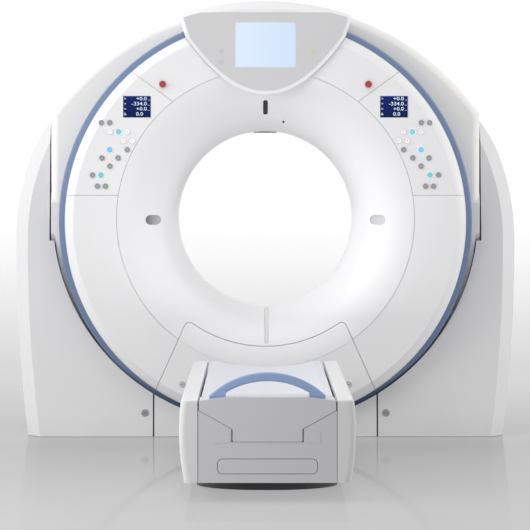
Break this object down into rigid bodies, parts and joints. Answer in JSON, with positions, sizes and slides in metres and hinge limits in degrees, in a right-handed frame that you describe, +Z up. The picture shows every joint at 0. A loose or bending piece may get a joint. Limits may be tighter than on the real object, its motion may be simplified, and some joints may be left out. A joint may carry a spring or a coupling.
{
  "type": "ct scanner",
  "caption": "Tilting ring gantry on side stands with a top console and control panels, and a lifting patient couch whose top slides into the bore.",
  "frame": {"origin": "isocentre: centre of the patient opening, halfway along its straight liner", "axes": "+Y along the bore to the back of the gantry, the couch stands on the -Y side; +Z up; +X to the right seen from the couch"},
  "size_m": [2.234, 3.445, 1.922],
  "materials": {
    "cover_white": "satin moulded skin",
    "shell_grey": "satin moulded skin",
    "accent_blue": "satin metallic paint",
    "console_grey": "fine satin",
    "couch_grey": "satin",
    "screen_glass": "lit screen",
    "display_navy": "lit display",
    "key_rubber": "sealed key mat",
    "stop_red": "gloss",
    "cap_grey": "satin",
    "window_dark": "smoked",
    "rail_white": "satin",
    "tabletop_skin": "satin",
    "frame_steel": "powder coat",
    "cast_frame": "painted casting",
    "bearing_steel": "ground",
    "aluminium_part": "machined",
    "housing_dark": "satin",
    "copper_ring": "turned",
    "belt_rubber": "matte",
    "skirt_dark": "matte",
    "column_steel": "ground"
  },
  "bodies": {
    "base": {"gantry_base_frame": "frame_steel", "levelling_feet": "column_steel", "tilt_bearing_blocks": "cast_frame", "tilt_gearbox": "housing_dark", "stand_cover_front_left": "shell_grey", "stand_cover_front_right": "shell_grey", "stand_cover_rear_left": "shell_grey", "stand_cover_rear_right": "shell_grey", "base_cover_front": "shell_grey", "base_cover_rear": "shell_grey", "cover_lock_caps": "cap_grey", "couch_plinth": "skirt_dark", "lift_stage_fixed": "skirt_dark"},
    "tilting_gantry": {"tilt_ring_frame": "cast_frame", "bearing_outer_race": "bearing_steel", "front_cover": "cover_white", "front_funnel": "cover_white", "bore_liner": "cover_white", "rear_cover": "cover_white", "rear_funnel": "cover_white", "outer_shell": "shell_grey", "accent_ring": "accent_blue", "control_panel_left": "cover_white", "control_panel_right": "cover_white", "panel_displays": "display_navy", "keypads": "key_rubber", "lower_access_panel": "cover_white", "console_hood": "cover_white", "console_face": "console_grey", "console_screen": "screen_glass", "positioning_windows": "window_dark", "panel_lock_caps": "cap_grey", "bore_intercom": "cap_grey", "rotor_motor": "housing_dark", "drive_belt": "belt_rubber", "brush_block": "housing_dark"},
    "rotor": {"rotor_drum": "aluminium_part", "bearing_inner_race": "bearing_steel", "bearing_ball_cage": "bearing_steel", "xray_tube": "housing_dark", "beam_collimator": "housing_dark", "detector_arc": "aluminium_part", "high_voltage_generator": "housing_dark", "slip_ring": "copper_ring"},
    "pulley": {"drive_pulley": "aluminium_part"},
    "stop_right": {"stop_button_right": "stop_red"},
    "stop_left": {"stop_button_left": "stop_red"},
    "lift_lower": {"lift_stage_lower": "skirt_dark"},
    "lift_upper": {"lift_stage_upper": "skirt_dark"},
    "couch": {"lift_stage_top": "skirt_dark", "couch_frame": "frame_steel", "side_cover_left": "cover_white", "side_cover_right": "cover_white", "table_rails": "rail_white", "foot_end_cover": "couch_grey", "foot_service_hatches": "couch_grey", "head_end_cover": "couch_grey"},
    "table": {"tabletop": "tabletop_skin", "table_end_hood": "couch_grey", "pull_handle": "accent_blue"}
  },
  "joints": [
    {"name": "gantry_tilt", "type": "hinge", "parent": "base", "child": "tilting_gantry", "pos_m": [0, 0, 0], "axis": [1, 0, 0], "range_deg": [-30, 30]},
    {"name": "rotor_spin", "type": "hinge", "parent": "tilting_gantry", "child": "rotor", "pos_m": [0, 0, 0], "axis": [0, 1, 0], "continuous": true},
    {"name": "pulley_spin", "type": "hinge", "parent": "tilting_gantry", "child": "pulley", "pos_m": [-0.64, 0.14, -0.48], "axis": [0, 1, 0], "continuous": true},
    {"name": "stop_press_right", "type": "slide", "parent": "tilting_gantry", "child": "stop_right", "axis": [0, 1, 0], "range_m": [0, 0.004], "stiffness_N_per_m": 800},
    {"name": "stop_press_left", "type": "slide", "parent": "tilting_gantry", "child": "stop_left", "axis": [0, 1, 0], "range_m": [0, 0.004], "stiffness_N_per_m": 800},
    {"name": "couch_lift", "type": "slide", "parent": "base", "child": "couch", "axis": [0, 0, 1], "range_m": [0, 0.6]},
    {"name": "lift_lower_slide", "type": "slide", "parent": "base", "child": "lift_lower", "axis": [0, 0, 1], "range_m": [0, 0.2]},
    {"name": "lift_upper_slide", "type": "slide", "parent": "base", "child": "lift_upper", "axis": [0, 0, 1], "range_m": [0, 0.4]},
    {"name": "table_slide", "type": "slide", "parent": "couch", "child": "table", "axis": [0, 1, 0], "range_m": [0, 1.08]}
  ],
  "couplings": [
    {"joint": "pulley_spin", "follows": "rotor_spin", "ratio": 10.917},
    {"joint": "lift_lower_slide", "follows": "couch_lift", "ratio": 0.33333},
    {"joint": "lift_upper_slide", "follows": "couch_lift", "ratio": 0.66667},
    {"joint": "table_slide", "follows": "couch_lift", "ratio": 1.8}
  ]
}
